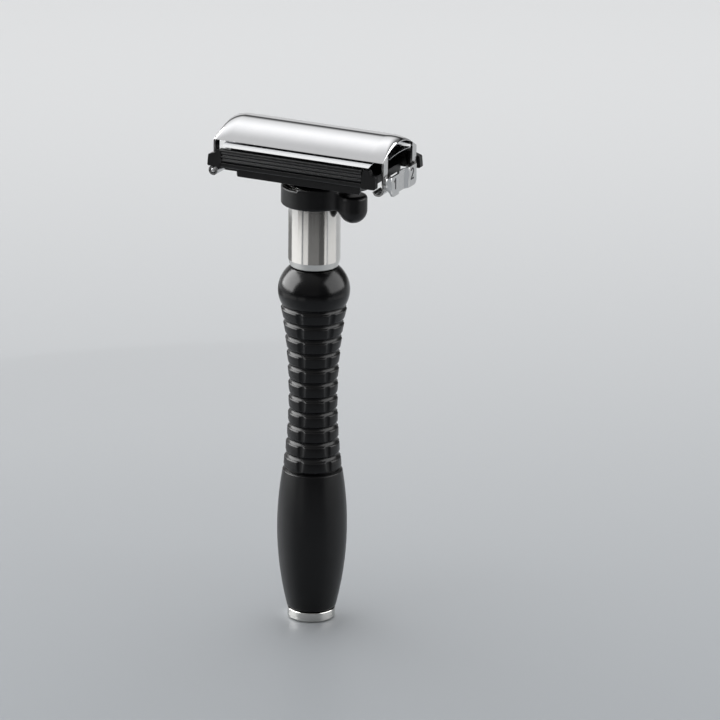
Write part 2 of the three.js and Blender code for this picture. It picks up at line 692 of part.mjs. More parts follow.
add("side_latch", sideLatch(), stainless);

export default razor;
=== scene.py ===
import json
import math

import bmesh
import bpy
import numpy as np
from mathutils import Matrix, Vector


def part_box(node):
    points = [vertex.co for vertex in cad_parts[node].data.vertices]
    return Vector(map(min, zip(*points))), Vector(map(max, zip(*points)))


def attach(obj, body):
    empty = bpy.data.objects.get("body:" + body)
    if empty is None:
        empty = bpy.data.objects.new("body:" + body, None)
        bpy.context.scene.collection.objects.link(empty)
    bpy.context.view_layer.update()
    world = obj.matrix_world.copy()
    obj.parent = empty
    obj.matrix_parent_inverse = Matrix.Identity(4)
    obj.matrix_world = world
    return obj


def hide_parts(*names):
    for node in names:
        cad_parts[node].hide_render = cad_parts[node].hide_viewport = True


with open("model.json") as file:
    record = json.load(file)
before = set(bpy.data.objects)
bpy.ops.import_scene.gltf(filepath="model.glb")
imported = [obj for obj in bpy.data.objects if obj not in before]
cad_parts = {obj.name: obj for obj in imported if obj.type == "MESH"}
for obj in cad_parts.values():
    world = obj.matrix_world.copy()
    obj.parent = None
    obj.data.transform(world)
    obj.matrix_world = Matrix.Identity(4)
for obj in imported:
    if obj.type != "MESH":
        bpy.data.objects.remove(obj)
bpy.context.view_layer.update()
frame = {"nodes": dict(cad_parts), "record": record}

# Double-edge safety razor with a tilting clamp head: its fine surfaces, finishes, light and camera.
# Sizes are in millimetres and are turned into metres where a mesh is made.
# +Z runs up the handle, +X along the head to the numbered latch, and -Y is the front.

MM = 0.001
AROUND = 128  # facets around a turned piece
FINE = 32  # facets around a pin, a hole or a coil's wire

SLOT_OF = {part["node"]: part["material_slot"] for part in frame["record"]["subparts"]}
BODY_OF = {
    node: body for body, nodes in frame["record"]["behaviour"]["bodies"].items() for node in nodes
}


class Span:
    """The box of a CAD node, in millimetres."""

    def __init__(self, node):
        low, high = (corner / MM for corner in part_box(node))
        self.left, self.front, self.bottom = low
        self.right, self.back, self.top = high
        self.x = (self.left + self.right) / 2
        self.z = (self.bottom + self.top) / 2


# ---- Mesh tools ----


def linked(name, data):
    """A new object in the scene."""
    piece = bpy.data.objects.new(name, data)
    bpy.context.scene.collection.objects.link(piece)
    return piece


def new_piece(name, points, faces):
    """A mesh object from points in millimetres, with doubled points merged and faces turned out."""
    mesh = bpy.data.meshes.new(name)
    mesh.from_pydata([Vector(point) * MM for point in points], [], faces)
    form = bmesh.new()
    form.from_mesh(mesh)
    bmesh.ops.remove_doubles(form, verts=form.verts, dist=1e-7)
    loose = [edge for edge in form.edges if not edge.link_faces]
    bmesh.ops.delete(form, geom=loose, context="EDGES")
    bmesh.ops.recalc_face_normals(form, faces=form.faces)
    form.to_mesh(mesh)
    form.free()
    return linked(name, mesh)


def skinned(name, loops, ring=False):
    """A closed solid through closed loops of points; its ends are capped unless it is a ring."""
    count = len(loops[0])
    points = [point for loop in loops for point in loop]
    steps = len(loops) if ring else len(loops) - 1
    faces = []
    for i in range(steps):
        here, there = i * count, (i + 1) % len(loops) * count
        for j in range(count):
            k = (j + 1) % count
            faces.append((here + j, there + j, there + k, here + k))
    if not ring:
        last = (len(loops) - 1) * count
        faces.append(tuple(range(count)))
        faces.append(tuple(range(last, last + count)))
    return new_piece(name, points, faces)


def turned(name, profile, facets=AROUND):
    """A solid turned about Z from a closed outline of (radius, height) points."""
    angles = [2 * math.pi * step / facets for step in range(facets)]
    loops = [[(r * math.cos(a), r * math.sin(a), z) for r, z in profile] for a in angles]
    return skinned(name, loops, ring=True)


def lathe(name, corners, facets=AROUND):
    """A solid turned about Z from corners that may be rounded."""
    return turned(name, rounded(corners), facets)


PLANES = {
    "X": lambda u, v, w: (w, u, v),
    "Y": lambda u, v, w: (u, w, v),
    "Z": lambda u, v, w: (u, v, w),
}


def prism(name, axis, outline, low, high):
    """An outline pushed along an axis: it is drawn in YZ for X, in XZ for Y and in XY for Z."""
    place = PLANES[axis]
    return skinned(name, [[place(u, v, w) for u, v in outline] for w in (low, high)])


def circle(u, v, radius, facets=FINE):
    angles = [2 * math.pi * step / facets for step in range(facets)]
    return [(u + radius * math.cos(a), v + radius * math.sin(a)) for a in angles]


def rod(name, axis, u, v, radius, low, high):
    return prism(name, axis, circle(u, v, radius), low, high)


def block(name, x, y, z):
    corners = [(x[0], y[0]), (x[1], y[0]), (x[1], y[1]), (x[0], y[1])]
    return prism(name, "Z", corners, *z)


def wire(name, path, radius, facets=12):
    """A round wire along a list of points."""
    loops = []
    for i, point in enumerate(path):
        ahead, behind = path[min(i + 1, len(path) - 1)], path[max(i - 1, 0)]
        turn = (Vector(ahead) - Vector(behind)).to_track_quat("Z", "Y")
        ring = [turn @ Vector((u, v, 0)) for u, v in circle(0, 0, radius, facets)]
        loops.append([Vector(point) + spoke for spoke in ring])
    return skinned(name, loops)


def rounded(corners, closed=True, steps=6):
    """A path whose (u, v, radius) corners become arcs; a corner without a radius stays sharp."""
    path = []
    last = len(corners) - 1
    for i, (u, v, *radius) in enumerate(corners):
        here = Vector((u, v))
        if not radius or (not closed and i in (0, last)):
            path.append((u, v))
            continue
        back = (Vector(corners[i - 1][:2]) - here).normalized()
        on = (Vector(corners[(i + 1) % len(corners)][:2]) - here).normalized()
        half = back.angle(on) / 2
        centre = here + (back + on).normalized() * (radius[0] / math.sin(half))
        start = here + back * (radius[0] / math.tan(half)) - centre
        end = here + on * (radius[0] / math.tan(half)) - centre
        sweep = start.angle_signed(end)
        for step in range(steps + 1):
            path.append(tuple(centre + Matrix.Rotation(-sweep * step / steps, 2) @ start))
    return path


def ribbon(path, thickness):
    """The outline of a bent sheet from its middle line."""
    line = np.array(path, float)
    along = np.gradient(line, axis=0)
    along /= np.linalg.norm(along, axis=1)[:, None]
    side = np.stack((-along[:, 1], along[:, 0]), axis=1) * thickness / 2
    return [*map(tuple, line + side), *map(tuple, (line - side)[::-1])]


def arc(u, v, radius, start, end, steps=16):
    """Points along an arc, its angles in degrees."""
    angles = np.radians(np.linspace(start, end, steps + 1))
    return [(u + radius * math.cos(a), v + radius * math.sin(a)) for a in angles]


def applied(piece, kind, **settings):
    """The piece with a modifier made part of its mesh."""
    modifier = piece.modifiers.new(kind.title(), kind)
    for name, value in settings.items():
        setattr(modifier, name, value)
    evaluated = piece.evaluated_get(bpy.context.evaluated_depsgraph_get())
    mesh = bpy.data.meshes.new_from_object(evaluated)
    piece.modifiers.clear()
    old = piece.data
    piece.data = mesh
    bpy.data.meshes.remove(old)
    return piece


def combined(piece, others, operation):
    for other in others:
        applied(piece, "BOOLEAN", object=other, operation=operation, solver="EXACT")
        bpy.data.objects.remove(other)
    return piece


def joined(piece, *others):
    return combined(piece, others, "UNION")


def carved(piece, *tools):
    return combined(piece, tools, "DIFFERENCE")


def trimmed(piece, *tools):
    return combined(piece, tools, "INTERSECT")


def eased(piece, width, segments=3, angle=35):
    """Rounds the piece's sharp edges by a width in millimetres."""
    limits = {"limit_method": "ANGLE", "angle_limit": math.radians(angle)}
    applied(piece, "BEVEL", width=width * MM, segments=segments, **limits)
    return applied(piece, "WELD", merge_threshold=0.001 * MM)


def turned_round(piece, name):
    """A copy turned half round about the handle's axis."""
    copy = linked(name, piece.data.copy())
    copy.data.transform(Matrix.Rotation(math.pi, 4, "Z"))
    return copy


def moved(piece, x):
    """The piece shifted along the head, in millimetres."""
    piece.data.transform(Matrix.Translation((x * MM, 0, 0)))
    return piece


def flipped(corners, u=1, v=1):
    """Corners mirrored across one axis, in the opposite order so that the outline runs on."""
    return [(u * corner[0], v * corner[1], *corner[2:]) for corner in corners[::-1]]


def pair(side, inner, outer):
    """A lower and an upper limit on one side of the middle."""
    return sorted((side * inner, side * outer))


# ---- Shader tools ----


class Value:
    """A socket of a finish. Python's operators on it add Math nodes."""

    def __init__(self, finish, socket):
        self.finish = finish
        self.socket = socket

    def math(self, operation, *values):
        settings = {"operation": operation}
        return self.finish.node("Math", settings, dict(enumerate(values)))

    def __add__(self, other):
        return self.math("ADD", self, other)

    __radd__ = __add__

    def __sub__(self, other):
        return self.math("SUBTRACT", self, other)

    def __rsub__(self, other):
        return self.math("SUBTRACT", other, self)

    def __mul__(self, other):
        return self.math("MULTIPLY", self, other)

    __rmul__ = __mul__

    def __abs__(self):
        return self.math("ABSOLUTE", self)

    def ramp(self, low, high):
        """0 below low, 1 above high, and smooth between."""
        settings = {"interpolation_type": "SMOOTHSTEP"}
        sockets = {"Value": self, "From Min": low, "From Max": high}
        return self.finish.node("MapRange", settings, sockets)


class Finish:
    """A material: its node tree, and one method that adds any node to it."""

    def __init__(self, name, **sockets):
        self.material = bpy.data.materials.new(name)
        self.material.use_nodes = True
        self.tree = self.material.node_tree
        self.shader = self.tree.nodes["Principled BSDF"]
        coordinates = self.node("TexCoord", output="Object")
        scale = {"Vector": coordinates, "Scale": 1 / MM}
        self.place = self.node("VectorMath", {"operation": "SCALE"}, scale)
        for socket, value in sockets.items():
            self.set(socket.replace("_", " "), value)

    def node(self, kind, settings=None, sockets=None, output=0):
        node = self.tree.nodes.new("ShaderNode" + kind)
        for name, value in (settings or {}).items():
            setattr(node, name, value)
        for socket, value in (sockets or {}).items():
            self.plug(node.inputs[socket], value)
        return Value(self, node.outputs[output])

    def plug(self, socket, value):
        if isinstance(value, Value):
            self.tree.links.new(value.socket, socket)
        else:
            socket.default_value = value

    def set(self, socket, value):
        self.plug(self.shader.inputs[socket], value)

    def along(self, axis):
        """The place along an axis, in millimetres."""
        return self.node("SeparateXYZ", sockets={"Vector": self.place}, output=axis)

    def noise(self, per_mm, detail=3, stretch=(1, 1, 1)):
        """Noise with so many lumps to the millimetre, squeezed along each axis."""
        settings = {"operation": "MULTIPLY"}
        sockets = {0: self.place, 1: stretch}
        vector = self.node("VectorMath", settings, sockets)
        return self.node(
            "TexNoise",
            sockets={"Vector": vector, "Scale": per_mm, "Detail": detail},
        )

    def mix(self, factor, low, high):
        """A colour between two."""
        sockets = {0: factor, 6: (*low, 1), 7: (*high, 1)}
        return self.node("Mix", {"data_type": "RGBA"}, sockets, output=2)

    def colour(self, factor, low, high):
        self.set("Base Color", self.mix(factor, low, high))

    def relief(self, height, depth):
        """Lifts the surface by height, whose 0 to 1 is so many millimetres."""
        sockets = {"Height": height, "Strength": 1.0, "Distance": depth * MM}
        self.set("Normal", self.node("Bump", sockets=sockets))


def grip_resin():
    """Black resin: satin on the barrel and rings, polished on the bulb."""
    finish = Finish("grip_resin", IOR=1.35)
    grain = finish.noise(9, 4)
    handling = finish.noise(0.25, 2)
    polish = finish.along("Z").ramp(74, 79)
    finish.colour(handling, (0.003, 0.003, 0.0035), (0.006, 0.006, 0.007))
    finish.set("Roughness", 0.25 + 0.07 * grain + 0.05 * handling - 0.1 * polish)
    finish.relief(grain, 0.002)
    return finish


def moulded_plastic():
    finish = Finish("moulded_plastic", IOR=1.38)
    grain = finish.noise(12, 3)
    flow = finish.noise(0.4, 2)
    finish.colour(flow, (0.004, 0.004, 0.0045), (0.009, 0.009, 0.01))
    finish.set("Roughness", 0.26 + 0.12 * grain)
    finish.relief(grain, 0.005)
    return finish


def grained(name, per_mm, low, high, rough, depth, **sockets):
    """A finish whose one fine grain changes its colour, its roughness and its height."""
    finish = Finish(name, **sockets)
    grain = finish.noise(per_mm)
    finish.colour(grain, low, high)
    finish.set("Roughness", rough[0] + rough[1] * grain)
    finish.relief(grain, depth)
    return finish


def polished_tube():
    """Stainless turned, then polished: fine lines run around it."""
    finish = Finish("polished_tube", Metallic=1.0)
    lines = finish.noise(3, 4, (0.15, 0.15, 9))
    smear = finish.noise(0.5, 2)
    finish.colour(smear, (0.6, 0.59, 0.57), (0.68, 0.67, 0.65))
    finish.set("Roughness", 0.07 + 0.08 * lines + 0.04 * smear)
    finish.relief(lines, 0.0006)
    return finish


def sheet_stainless():
    """Pressed stainless sheet with a fine rolled grain along its height."""
    finish = Finish("sheet_stainless", Metallic=1.0)
    grain = finish.noise(4, 4, (1, 6, 0.4))
    smear = finish.noise(0.7, 2)
    finish.colour(smear, (0.56, 0.56, 0.56), (0.66, 0.66, 0.66))
    finish.set("Roughness", 0.12 + 0.09 * grain + 0.05 * smear)
    finish.relief(grain, 0.001)
    return finish


def cap_chrome():
    finish = Finish("cap_chrome", Metallic=1.0)
    haze = finish.noise(0.35, 3)
    hairlines = finish.noise(6, 2, (0.2, 3, 3))
    finish.colour(haze, (0.84, 0.85, 0.87), (0.9, 0.9, 0.91))
    finish.set("Roughness", 0.025 + 0.03 * haze + 0.015 * hairlines)
    finish.relief(haze, 0.0008)
    return finish


def ground_blade(half_width):
    """Blade steel; both long edges are ground bright in two narrow bands."""
    finish = Finish("ground_blade", Metallic=1.0)
    from_edge = half_width - abs(finish.along("Y"))
    body = from_edge.ramp(1.0, 1.15)
    honed = 1 - from_edge.ramp(0.28, 0.34)
    strokes = finish.noise(14, 3, (4, 0.3, 1))
    rolled = finish.noise(5, 3, (0.2, 3, 1))
    finish.colour(body, (0.84, 0.85, 0.86), (0.74, 0.75, 0.77))
    ground = 0.14 + 0.16 * strokes - 0.08 * honed
    finish.set("Roughness", ground * (1 - body) + (0.1 + 0.1 * rolled) * body)
    finish.relief(strokes * (1 - body) + rolled * body, 0.0004)
    return finish


def turned_brass():
    finish = Finish("turned_brass", Metallic=1.0)
    lines = finish.noise(3, 4, (0.2, 0.2, 7))
    tarnish = finish.noise(0.5, 3).ramp(0.35, 0.75)
    finish.colour(tarnish, (0.72, 0.56, 0.28), (0.55, 0.4, 0.19))
    finish.set("Roughness", 0.24 + 0.1 * lines + 0.14 * tarnish)
    finish.relief(lines, 0.003)
    return finish


BLADE = Span("blade")
FINISHES = {
    "black_grip": grip_resin(),
    "black_plastic": moulded_plastic(),
    "ridged_plastic": grained(
        "ridged_plastic", 16, (0.006, 0.006, 0.007), (0.013, 0.013, 0.015), (0.3, 0.12), 0.004, IOR=1.4
    ),
    "brushed_stainless": sheet_stainless(),
    "cap_chrome": cap_chrome(),
    "blade_steel": ground_blade(BLADE.back),
    "spring_steel": grained(
        "plain_steel", 8, (0.42, 0.42, 0.43), (0.55, 0.55, 0.55), (0.26, 0.14), 0.003, Metallic=1.0
    ),
    "brass": turned_brass(),
}
TUBE_FINISH = polished_tube()
INK = grained("stamped_ink", 5, (0.02, 0.02, 0.022), (0.06, 0.06, 0.062), (0.4, 0.2), 0.004)


def install(piece, node, finish=None, angle=32):
    """Gives a piece its shading, finish and slot, and puts it in the place of a CAD node."""
    slot = SLOT_OF[node]
    piece.data.materials.clear()
    piece.data.materials.append((finish or FINISHES[slot]).material)
    piece.data.shade_smooth()
    piece.data.set_sharp_from_angle(angle=math.radians(angle))
    applied(piece, "WEIGHTED_NORMAL", keep_sharp=True)
    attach(piece, BODY_OF[node])
    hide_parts(node)
    return piece


# ---- Handle ----

END_CAP = Span("end_cap")
GRIP = Span("handle_grip")
SLEEVE = Span("neck_sleeve")
ROD = Span("tie_rod")
BALLAST = Span("ballast_weight")
PIVOT_PIN = Span("pivot_pin")
CROSS_PIN = Span("cross_pin")
HINGE_PIN = Span("cap_hinge_pin")
BLOCK = Span("pivot_block")
DRUM_R = PIVOT_PIN.z - BLOCK.bottom  # the pivot drum hangs under the block by its radius

# The grip's barrel, rings and bulb, as the radius at a height
BARREL_TOP = 36.7
BARREL_WIDEST_Z = 22.75
BARREL_CURVE = 0.0062
RING_COUNT = 11
RING_PITCH = 3.64
GROOVE_Z = 37.2
GROOVE_DEPTH = 0.75
RING_FLANK = 0.8  # height of the round foot of a ring
RING_LIP_Z = 2.6  # where the ring's land turns in
RING_STEP_Z = 3.02  # where that steep edge becomes the broad slope down to the groove
RING_STEP = 0.42
RING_TAPER = 0.1
WAIST_R = 5.79
WAIST_Z = 54.5
WAIST_CURVE = 0.004
BULB_R = 8.38
BULB_Z = 80.7
BULB_HALF_HEIGHT = 7.6
BULB_BOTTOM = 77.6
FLUTES = 6
FLUTE_R = 1.45
FLUTE_DEPTH = 0.35
GRIP_WIDEST = 8.21
SLEEVE_SPIGOT_R = 4.3
SLEEVE_BORE_R = 5.3


def end_cap():
    """The turned cap under the grip, with its boss and the blind hole for the tie rod."""
    rim, foot = END_CAP.right, END_CAP.bottom
    seat = GRIP.bottom - 0.3
    boss = BALLAST.right
    hole = ROD.right + 0.15
    turning = lathe("end_cap_turning", [
        (0, foot),
        (rim - 0.35, foot, 0.08),
        (rim, foot + 0.35, 0.2),
        (rim, seat, 0.22),
        (boss, seat, 0.1),
        (boss, END_CAP.top, 0.25),
        (hole, END_CAP.top, 0.1),
        (hole, ROD.bottom - 0.2),
        (0, ROD.bottom - 0.2),
    ])
    install(turning, "end_cap", TUBE_FINISH)


def ring_crest(z):
    return WAIST_R + WAIST_CURVE * (z - WAIST_Z) ** 2


def barrel_radius(z):
    return GRIP_WIDEST - BARREL_CURVE * (z - BARREL_WIDEST_Z) ** 2


def bulb_radius(z):
    return BULB_R * math.sqrt(1 - ((z - BULB_Z) / BULB_HALF_HEIGHT) ** 2)


def ring_depth(up):
    """How far a ring lies under its crest, at a height above the groove below it."""
    if up < RING_FLANK:
        return RING_TAPER + (GROOVE_DEPTH - RING_TAPER) * (1 - up / RING_FLANK) ** 1.8
    if up > RING_STEP_Z:
        slope = (up - RING_STEP_Z) / (RING_PITCH - RING_STEP_Z)
        return RING_STEP + (GROOVE_DEPTH - RING_STEP) * slope
    if up > RING_LIP_Z:
        turn = (up - RING_LIP_Z) / (RING_STEP_Z - RING_LIP_Z)
        return RING_STEP * turn * turn
    return RING_TAPER * (RING_LIP_Z - up) / (RING_LIP_Z - RING_FLANK)


def grip_outline():
    """The grip's outer (radius, height) points from the bottom up."""
    foot = GRIP.bottom
    barrel = [(barrel_radius(z), z) for z in np.linspace(foot + 0.25, BARREL_TOP - 0.3, 60)]
    first = [(barrel_radius(foot) - 0.2, foot)]
    shoulder = rounded([
        barrel[-1],
        (barrel_radius(BARREL_TOP), BARREL_TOP, 0.22),
        (ring_crest(GROOVE_Z) - GROOVE_DEPTH, GROOVE_Z - 0.1),
    ], closed=False)[1:]
    foot_steps = np.linspace(0.04, RING_FLANK, 8)
    lip_steps = np.linspace(RING_LIP_Z, RING_STEP_Z, 6)
    climb = [*foot_steps, 1.7, *lip_steps, 3.3, 3.58]
    rings = []
    for ring in range(RING_COUNT + 1):
        for up in climb:
            z = GROOVE_Z + ring * RING_PITCH + up
            if z < BULB_BOTTOM - 0.25:
                rings.append((ring_crest(z) - ring_depth(up), z))
    top = GRIP.top
    bulb = [(bulb_radius(z), z) for z in np.linspace(BULB_BOTTOM, top - 0.2, 48)]
    last = [(bulb_radius(top - 0.2) - 0.25, top)]
    return [*first, *barrel, *shoulder, *rings, *bulb, *last]


def flute_angles():
    """Angles around the grip, close together across each flute."""
    fine = np.linspace(-0.2, 0.2, 15)
    coarse = np.linspace(0.2, 2 * math.pi / FLUTES - 0.2, 12)[1:-1]
    one = np.concatenate([fine, coarse])
    front = -math.pi / 2
    return np.concatenate([front + one + 2 * math.pi * i / FLUTES for i in range(FLUTES)])


def fluted(radius, z, angle):
    """The radius left by the round cutter that runs down each flute."""
    if not BARREL_TOP + 0.4 < z < BULB_BOTTOM - 0.2:
        return radius
    sector = 2 * math.pi / FLUTES
    off = (angle + math.pi / 2 + sector / 2) % sector - sector / 2
    centre = ring_crest(z) + FLUTE_R - FLUTE_DEPTH
    inside = FLUTE_R ** 2 - (centre * math.sin(off)) ** 2
    if inside <= 0:
        return radius
    return min(radius, centre * math.cos(off) - math.sqrt(inside))


def handle_grip():
    """The moulded grip: barrel, eleven fluted rings, bulb and the bore for its insides."""
    bore = BALLAST.right + 0.15
    spigot = SLEEVE_SPIGOT_R + 0.1
    clear = ROD.right + 0.2
    inner = [
        (spigot, GRIP.top),
        (spigot, SLEEVE.bottom - 0.2),
        (clear, SLEEVE.bottom - 0.2),
        (clear, BALLAST.top + 0.2),
        (bore, BALLAST.top + 0.2),
        (bore, GRIP.bottom),
    ]
    outer = grip_outline()
    loops = []
    for angle in flute_angles():
        rim = [(fluted(r, z, angle), z) for r, z in outer] + inner
        loops.append([(r * math.cos(angle), r * math.sin(angle), z) for r, z in rim])
    install(skinned("grip_moulding", loops, ring=True), "handle_grip", angle=50)


def neck_sleeve():
    """The polished tube over the bulb, on its spigot; the cross pin passes through two slots."""
    rim = SLEEVE.right
    bottom = GRIP.top + 0.3
    floor = Span("tie_washer").bottom - 0.2
    hole = ROD.right + 0.2
    sleeve = lathe("neck_tube", [
        (hole, SLEEVE.bottom),
        (SLEEVE_SPIGOT_R, SLEEVE.bottom, 0.2),
        (SLEEVE_SPIGOT_R, bottom),
        (rim - 0.45, bottom, 0.08),
        (rim, bottom + 1.6, 0.12),
        (rim, SLEEVE.top, 0.1),
        (SLEEVE_BORE_R, SLEEVE.top, 0.1),
        (SLEEVE_BORE_R, floor),
        (hole, floor),
    ])
    slot_width = (CROSS_PIN.left - 0.1, CROSS_PIN.right + 0.1)
    slot = block("slot", slot_width, (-8, 8), (CROSS_PIN.bottom - 0.2, SLEEVE.top + 1))
    install(carved(sleeve, slot), "neck_sleeve", TUBE_FINISH)


def swivel_cup():
    """The pressed cup that holds the pivot pin, its mouth open to the drum."""
    cup = Span("swivel_cup")
    rim = cup.right
    wall = 0.6
    ear_half = 1.6
    mouth = 106.6
    shell = lathe("cup_pressing", [
        (0, cup.bottom),
        (rim, cup.bottom, 0.5),
        (rim, cup.top),
        (rim - wall, cup.top),
        (rim - wall, cup.bottom + wall, 0.3),
        (0, cup.bottom + wall),
    ])
    window = block("window", (-5.5, 5.5), (-2, 2), (cup.bottom - 1, cup.bottom + 1.2))
    open_z = (mouth, cup.top + 1)
    sides = [block("side", (-9, 9), pair(side, ear_half, 9), open_z) for side in (-1, 1)]
    hole = rod("hole", "X", 0, PIVOT_PIN.z, PIVOT_PIN.back + 0.05, -9, 9)
    carved(shell, window, *sides, hole)
    install(eased(shell, 0.12, 2), "swivel_cup", TUBE_FINISH)


# ---- Lock ring ----

RING = Span("lock_ring")
RING_R = -RING.left
RING_BOTTOM = 101.6
RING_LOW_TOP = 106.35
RING_LEDGE = 101.9  # the bore is tight under this height and wide above it
RING_TIGHT_BORE = 6.35
RING_WIDE_BORE = 7.05
LOBE_R = 3.3
LOBE_X = RING.right - LOBE_R
LOBE_TOP = 105
LOBE_BALL_Z = RING.bottom + LOBE_R


def blend_min(first, second, reach):
    """The union of two distances, with a fillet between them."""
    share = np.clip(0.5 + 0.5 * (second - first) / reach, 0, 1)
    return second * (1 - share) + first * share - reach * share * (1 - share)


def blend_max(first, second, reach):
    """The overlap of two distances, with a rounded edge."""
    return -blend_min(-first, -second, reach)


def ring_distance(points):
    """How far points lie outside the lock ring, roughly, in millimetres."""
    x, y, z = points.T
    out = np.hypot(x, y)
    rise = np.clip((x + 1.1) / 0.6, 0, 1)
    top = RING_LOW_TOP + (RING.top - RING_LOW_TOP) * rise * rise * (3 - 2 * rise)
    body = blend_max(out - RING_R, np.maximum(RING_BOTTOM - z, z - top), 0.7)
    from_lobe = np.hypot(x - LOBE_X, y)
    ball = np.hypot(from_lobe, np.minimum(z - LOBE_BALL_Z, 0)) - LOBE_R
    lobe = blend_max(ball, z - LOBE_TOP, 1)
    solid = blend_min(body, lobe, 2)
    bore = np.where(z > RING_LEDGE, RING_WIDE_BORE, RING_TIGHT_BORE)
    return blend_max(solid, bore - out, 0.3)


def settled(piece, distance, rounds=14, relaxed=6, probe=0.01):
    """Moves a piece's points along the slope of a distance to where it is zero, evening them out."""
    count = len(piece.data.vertices)
    flat = np.empty(count * 3)
    piece.data.vertices.foreach_get("co", flat)
    points = flat.reshape(-1, 3) / MM
    ends = np.array([edge.vertices[:] for edge in piece.data.edges])
    degree = np.bincount(ends.ravel(), minlength=count)[:, None]
    for turn in range(rounds):
        here = distance(points)
        slope = np.stack([(distance(points + probe * step) - here) / probe for step in np.eye(3)], 1)
        steep = np.maximum((slope ** 2).sum(1), 0.2)
        points -= 0.8 * (here / steep)[:, None] * slope
        if turn < relaxed:
            total = np.zeros_like(points)
            np.add.at(total, ends[:, 0], points[ends[:, 1]])
            np.add.at(total, ends[:, 1], points[ends[:, 0]])
            points += 0.5 * (total / degree - points)
    piece.data.vertices.foreach_set("co", (points * MM).ravel())
    piece.data.update()
    return piece


def lock_ring():
    """The collar that locks the tilt, with its thumb lobe in one smooth moulding."""
    profile = [
        (RING_TIGHT_BORE, RING_BOTTOM),
        (RING_R, RING_BOTTOM),
        (RING_R, RING_LOW_TOP),
        (RING_WIDE_BORE, RING_LOW_TOP),
        (RING_WIDE_BORE, RING_LEDGE),
        (RING_TIGHT_BORE, RING_LEDGE),
    ]
    ring = turned("collar_moulding", profile, 64)
    ball = arc(0, LOBE_BALL_Z, LOBE_R, -90, 0, 8)[1:]
    lobe = turned("lobe", [(0, RING.bottom), *ball, (LOBE_R, LOBE_TOP), (0, LOBE_TOP)], 48)
    moved(lobe, LOBE_X)
    carved(lobe, rod("inside", "Z", 0, 0, RING_WIDE_BORE, 95, 110))
    joined(ring, lobe)
    applied(ring, "REMESH", mode="VOXEL", voxel_size=0.16 * MM)
    install(settled(ring, ring_distance), "lock_ring", angle=70)


# ---- Inner works ----


def threaded(name, radius, low, high, pitch=0.5, depth=0.22, facets=24):
    """A rod with a thread along it; the crests wind up with the angle."""
    loops = []
    steps = int((high - low) / (pitch / 5))
    for step in range(steps + 1):
        z = low + (high - low) * step / steps
        loop = []
        for i in range(facets):
            turn = i / facets
            phase = ((z - low) / pitch + turn) % 1
            fade = min(1, (z - low) / pitch, (high - z) / pitch)
            r = radius - depth * fade * abs(2 * phase - 1)
            loop.append((r * math.cos(2 * math.pi * turn), r * math.sin(2 * math.pi * turn), z))
        loops.append(loop)
    return skinned(name, loops)


def tie_rod():
    """The rod that pulls the handle together, threaded at both ends."""
    thread = 4
    rod_middle = lathe("tie_rod_turning", [
        (0, ROD.bottom + thread),
        (ROD.right, ROD.bottom + thread, 0.15),
        (ROD.right, ROD.top - thread, 0.15),
        (0, ROD.top - thread),
    ], FINE)
    lower = threaded("lower_thread", ROD.right, ROD.bottom, ROD.bottom + thread + 0.2)
    upper = threaded("upper_thread", ROD.right, ROD.top - thread - 0.2, ROD.top)
    install(joined(rod_middle, lower, upper), "tie_rod")


def washer_like(name, node, bore, ease):
    """A turned ring that fills a node's box."""
    box = Span(node)
    ring = lathe(name, [
        (bore, box.bottom, ease),
        (box.right, box.bottom, ease),
        (box.right, box.top, ease),
        (bore, box.top, ease),
    ], 96)
    install(ring, node)


def tie_nut():
    """A hexagon nut with chamfered corners."""
    nut = Span("tie_nut")
    corner = nut.right
    body = prism("hexagon_nut", "Z", circle(0, 0, corner, 6), nut.bottom, nut.top)
    past, flat = corner + 0.02, corner - 0.45
    cone = [
        (0, nut.bottom),
        (flat, nut.bottom),
        (past, nut.bottom + 0.3),
        (past, nut.top - 0.3),
        (flat, nut.top),
        (0, nut.top),
    ]
    trimmed(body, turned("cone", cone, 64))
    carved(body, rod("hole", "Z", 0, 0, ROD.right + 0.1, nut.bottom - 1, nut.top + 1))
    install(eased(body, 0.05, 2), "tie_nut")


def coil_path(radius, pitch, turns, bottom, per_turn=40):
    """The middle line of a coil spring about Z, with closed ends."""
    path = []
    for step in range(int(turns * per_turn) + 1):
        angle = 2 * math.pi * step / per_turn
        z = bottom + pitch * step / per_turn
        path.append((radius * math.cos(angle), radius * math.sin(angle), z))
    return path


def springs():
    """The coil under the plunger and the two torsion springs on the pivot pin."""
    box = Span("brake_spring")
    wire_r = 0.25
    turns = 4
    low, high = box.bottom + wire_r, box.top - wire_r
    path = coil_path(box.right - wire_r, (high - low) / turns, turns, low)
    install(wire("plunger_coil", path, wire_r), "brake_spring")
    for node in ("tilt_spring_left", "tilt_spring_right"):
        box = Span(node)
        thin = 0.12
        turns = 2.5
        length = box.right - box.left - 2 * thin
        path = coil_path(1.15, length / turns, turns, 0)
        turned_path = [(box.left + thin + z, y, box.z + x) for x, y, z in path]
        install(wire(node.replace("spring", "coil"), turned_path, thin), node)


def pin(node, name, axis, ease):
    """A straight pin with rounded ends that fills a node's box."""
    box = Span(node)
    middle, low, high = (0, box.left, box.right) if axis == "X" else (box.x, box.front, box.back)
    body = rod(name, axis, middle, box.z, (box.top - box.bottom) / 2, low, high)
    install(eased(body, ease, 3), node)


